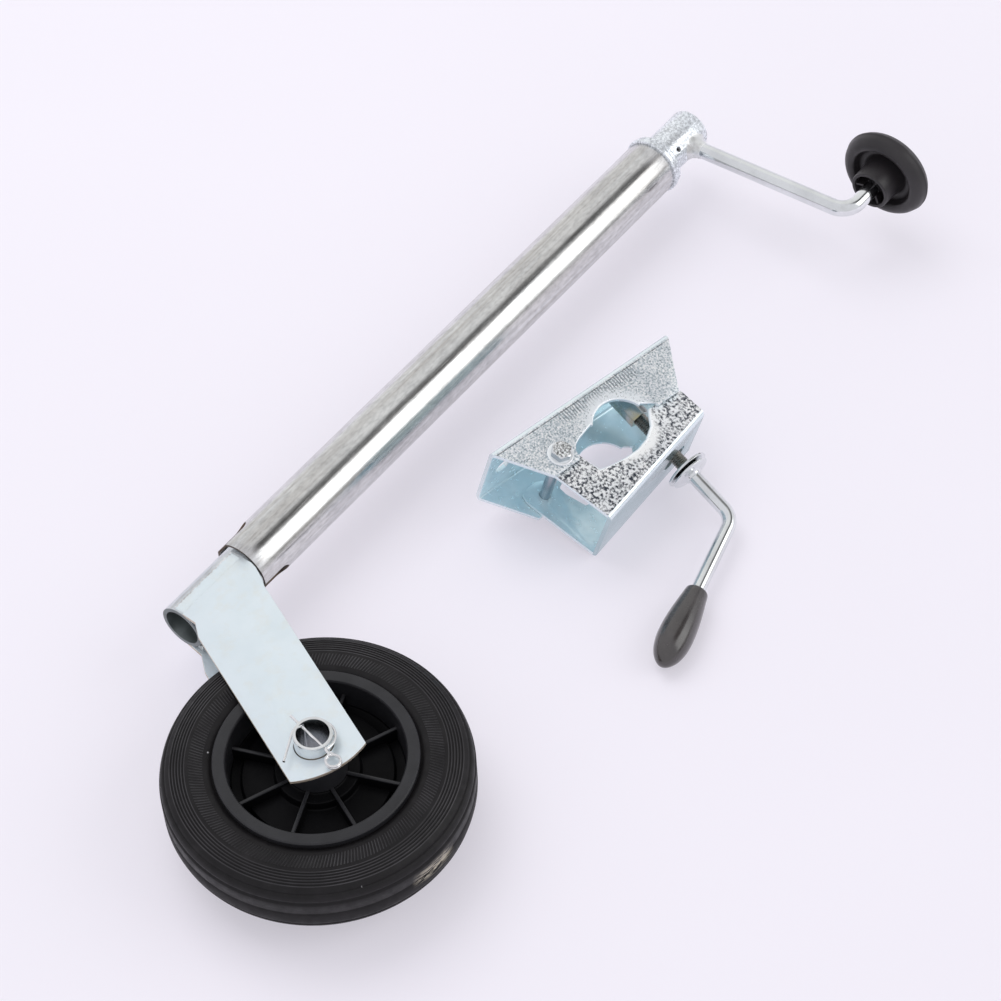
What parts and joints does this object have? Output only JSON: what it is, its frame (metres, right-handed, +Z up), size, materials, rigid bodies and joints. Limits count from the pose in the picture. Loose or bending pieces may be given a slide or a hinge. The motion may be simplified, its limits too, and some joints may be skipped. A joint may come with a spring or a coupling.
{
  "type": "telescopic support wheel with tube clamp",
  "caption": "Wind-down support wheel for a gate or trailer: telescopic tube with crank, forked solid-tyre wheel, and a separate hinged tube clamp with a bent handle.",
  "frame": {"origin": "centre of the footprint on the surface the parts lie on", "axes": "+Y along the outer tube towards the crank, +Z up and along the wheel axle, +X from the tube towards the wheel"},
  "size_m": [0.2872, 0.7544, 0.093],
  "materials": {
    "tube_zinc": "zinc plated welded tube, satin with drawn streaks",
    "bright_zinc": "bright zinc plate",
    "fork_zinc": "zinc plate with a pale blue passivation",
    "blue_zinc": "zinc plate with a blue passivation, speckled",
    "yellow_zinc": "zinc plate with a yellow passivation",
    "weld_zinc": "zinc plated weld bead",
    "spindle_steel": "oiled steel",
    "bearing_steel": "ground bearing steel",
    "spring_wire": "bright spring wire",
    "nylon": "natural nylon",
    "knob_plastic": "soft black plastic, satin",
    "grip_plastic": "black dipped plastic",
    "rim_plastic": "black moulded plastic",
    "tyre_rubber": "black solid rubber"
  },
  "bodies": {
    "tube": {"outer_tube": "tube_zinc", "guide_bush": "nylon", "top_collar": "tube_zinc", "upper_race": "bearing_steel"},
    "crank": {"spindle": "spindle_steel", "spindle_end_stop": "spindle_steel", "lower_race": "bearing_steel", "thrust_balls": "bearing_steel", "crank_head": "bright_zinc", "crank_pin": "spindle_steel", "crank_arm": "bright_zinc", "arm_weld": "weld_zinc", "knob_push_nut": "spindle_steel"},
    "knob": {"crank_knob": "knob_plastic"},
    "nut": {"spindle_nut": "spindle_steel"},
    "fork": {"inner_tube": "fork_zinc", "nut_grub_screws": "spindle_steel", "fork_plate_upper": "fork_zinc", "fork_plate_lower": "fork_zinc", "fork_welds": "weld_zinc", "axle_tube": "bright_zinc", "axle_washers": "bright_zinc", "axle_clip": "spring_wire"},
    "wheel": {"wheel_rim": "rim_plastic", "hub_bush": "nylon", "tyre": "tyre_rubber"},
    "clamp": {"clamp_bracket": "blue_zinc", "clamp_nut": "yellow_zinc", "hinge_bolt": "bright_zinc", "hinge_washers": "bright_zinc", "hinge_nut": "bright_zinc"},
    "jaw": {"clamp_jaw": "blue_zinc"},
    "feed": {"screw_washer": "bright_zinc"},
    "handle": {"clamp_screw": "bright_zinc", "handle_grip": "grip_plastic"}
  },
  "joints": [
    {"name": "crank_turn", "type": "hinge", "parent": "tube", "child": "crank", "pos_m": [-0.12101, 0.3142, 0.04303], "axis": [0, -1, 0], "range_deg": [0, 18000]},
    {"name": "knob_spin", "type": "hinge", "parent": "crank", "child": "knob", "pos_m": [0.0289, 0.3642, 0.05747], "axis": [0, 1, 0], "continuous": true},
    {"name": "tube_extend", "type": "slide", "parent": "tube", "child": "nut", "axis": [0, -1, 0], "range_m": [0, 0.2]},
    {"name": "fork_swivel", "type": "hinge", "parent": "nut", "child": "fork", "pos_m": [-0.12101, -0.1618, 0.04303], "axis": [0, 1, 0], "continuous": true},
    {"name": "wheel_spin", "type": "hinge", "parent": "fork", "child": "wheel", "pos_m": [0.02699, -0.2772, 0.04303], "axis": [0, 0, 1], "continuous": true},
    {"name": "clamp_lift", "type": "slide", "parent": "tube", "child": "clamp", "axis": [0, 0, 1], "range_m": [0, 0.15]},
    {"name": "jaw_swing", "type": "hinge", "parent": "clamp", "child": "jaw", "pos_m": [-0.00226, 0.00371, 0.04324], "axis": [-0.2546, -0.0028, -0.967], "range_deg": [0, 5.5]},
    {"name": "screw_feed", "type": "slide", "parent": "clamp", "child": "feed", "axis": [0.9514, -0.1799, -0.25], "range_m": [-0.0076, 0.0106]},
    {"name": "handle_turn", "type": "hinge", "parent": "feed", "child": "handle", "pos_m": [0.05918, 0.07453, 0.02686], "axis": [0.9514, -0.1799, -0.25], "range_deg": [-1800, 2520]}
  ],
  "couplings": [
    {"joint": "tube_extend", "follows": "crank_turn", "m_per_rad": 0.00063661},
    {"joint": "screw_feed", "follows": "handle_turn", "m_per_rad": 0.00023873}
  ]
}
